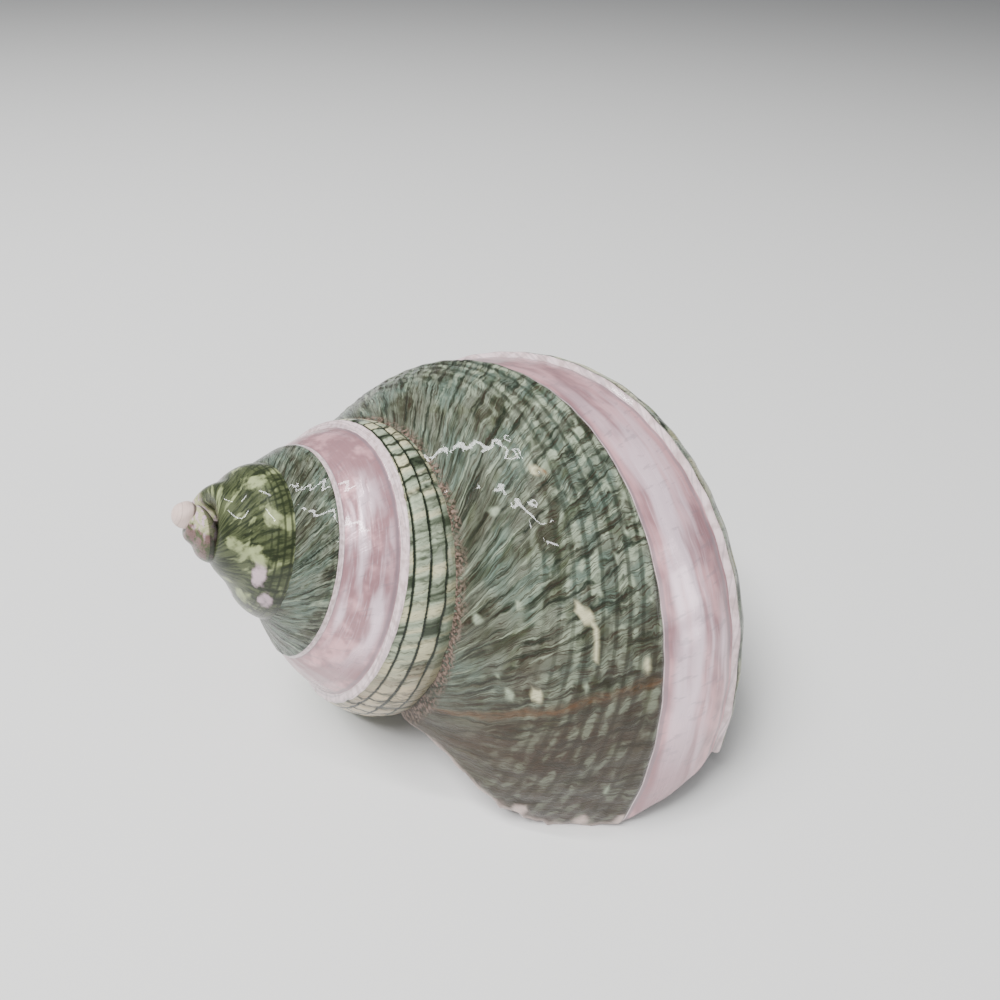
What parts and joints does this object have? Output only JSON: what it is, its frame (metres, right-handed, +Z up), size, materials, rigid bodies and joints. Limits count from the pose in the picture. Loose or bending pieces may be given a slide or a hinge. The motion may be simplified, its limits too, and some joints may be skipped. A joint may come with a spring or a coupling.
{
  "type": "turban shell",
  "caption": "Large turban sea shell with a round hollow aperture, a pointed spire and a ground mother-of-pearl band spiralling over its last two whorls.",
  "frame": {"origin": "centre of the underside of the bounding box, on the surface that the shell rests on", "axes": "+Z up, with the shell lying on its aperture; +X from the apex towards the base of the shell"},
  "size_m": [0.0775, 0.0746, 0.0513],
  "materials": {
    "shell": "polished shell: mottled jade green with a mother-of-pearl band"
  },
  "bodies": {
    "root": {"turban_shell": "shell"}
  },
  "joints": []
}
